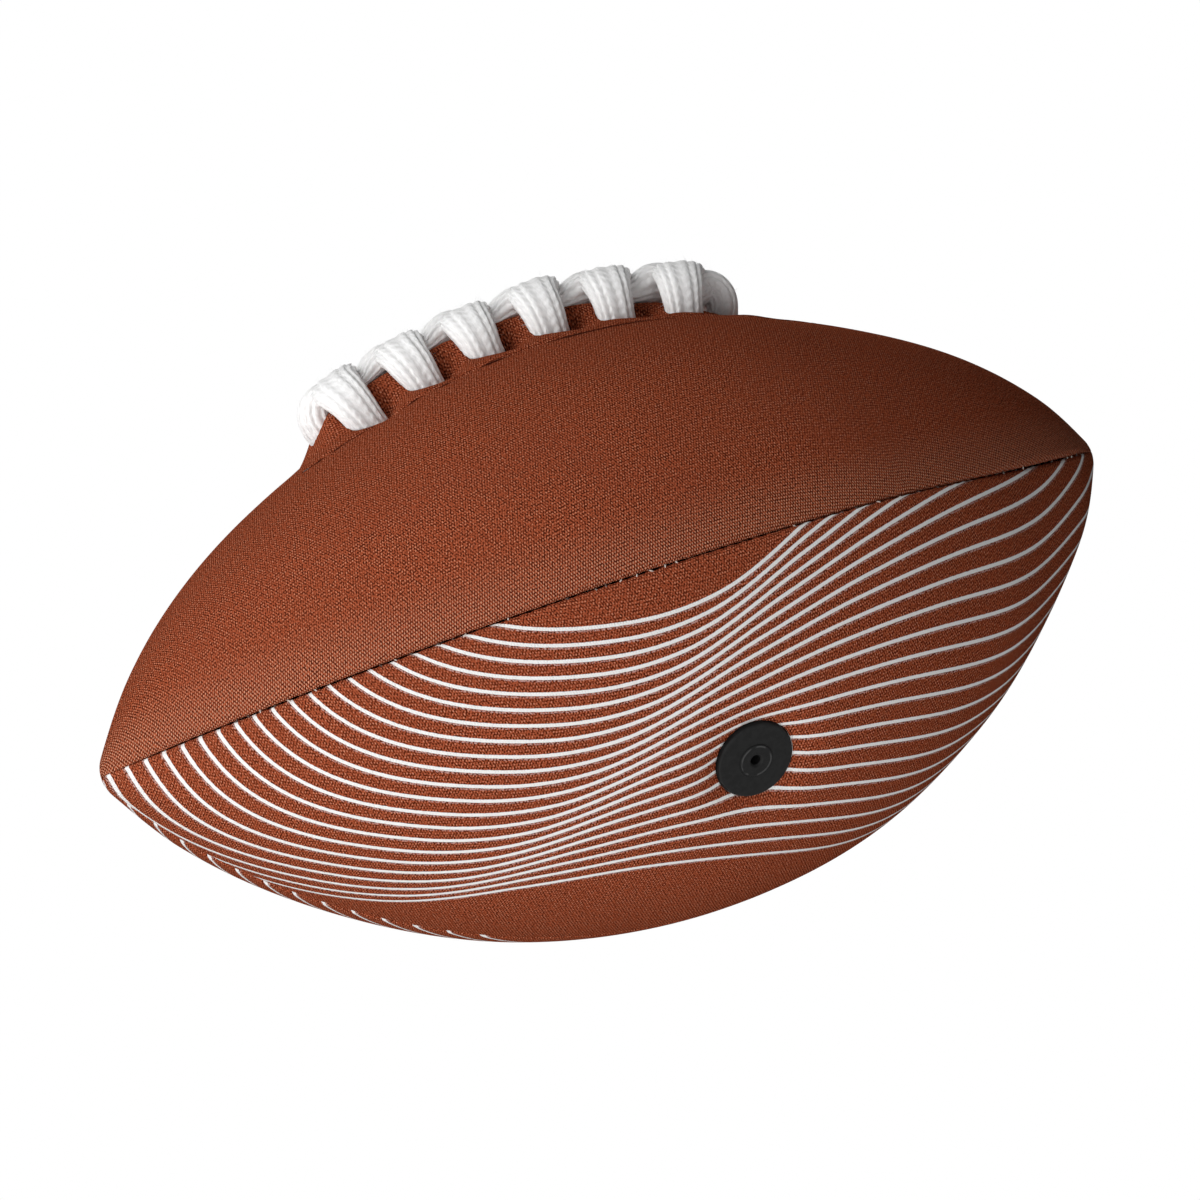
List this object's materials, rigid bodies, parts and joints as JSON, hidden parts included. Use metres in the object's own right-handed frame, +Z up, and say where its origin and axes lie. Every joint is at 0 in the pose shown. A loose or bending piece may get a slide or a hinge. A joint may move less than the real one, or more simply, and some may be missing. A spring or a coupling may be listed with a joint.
{
  "type": "american football",
  "caption": "Small american football: sewn knit-faced foam panels, cotton lacing along the top seam, a bladder inside and a needle valve with a pull-out plug.",
  "frame": {"origin": "on the floor under the middle of the ball, at its lowest point", "axes": "+X along the ball from tip to tip, +Z up through the lacing; the valve is on the -Y side, below the front seam"},
  "size_m": [0.21, 0.1178, 0.1246],
  "materials": {
    "knit_plain": "matt knit",
    "knit_striped": "matt knit printed with light pinstripes",
    "foam_black": "matt foam",
    "seam_thread": "twisted thread",
    "topstitch_thread": "twisted thread",
    "facing_brown": "matt cloth",
    "lace_cotton": "ribbed soft cotton",
    "bladder_rubber": "smooth",
    "valve_rubber": "matt moulded",
    "core_rubber": "matt moulded"
  },
  "bodies": {
    "ball": {"panel_front_top": "knit_plain", "foam_front_top": "foam_black", "panel_front_bottom": "knit_striped", "foam_front_bottom": "foam_black", "panel_back_bottom": "knit_striped", "foam_back_bottom": "foam_black", "panel_back_top": "knit_plain", "foam_back_top": "foam_black", "seam_thread_front": "seam_thread", "seam_thread_bottom": "seam_thread", "seam_thread_back": "seam_thread", "seam_thread_top_left": "seam_thread", "seam_thread_top_right": "seam_thread", "lace_facing_front": "facing_brown", "facing_thread_front": "topstitch_thread", "lace_facing_back": "facing_brown", "facing_thread_back": "topstitch_thread", "lace_tongue": "facing_brown", "lace": "lace_cotton", "bladder": "bladder_rubber", "valve_housing": "valve_rubber", "valve_patch": "foam_black"},
    "plug": {"valve_core": "core_rubber"}
  },
  "joints": [
    {"name": "valve_core_pull", "type": "slide", "parent": "ball", "child": "plug", "axis": [0, -0.766, -0.6428], "range_m": [0, 0.0145]}
  ]
}
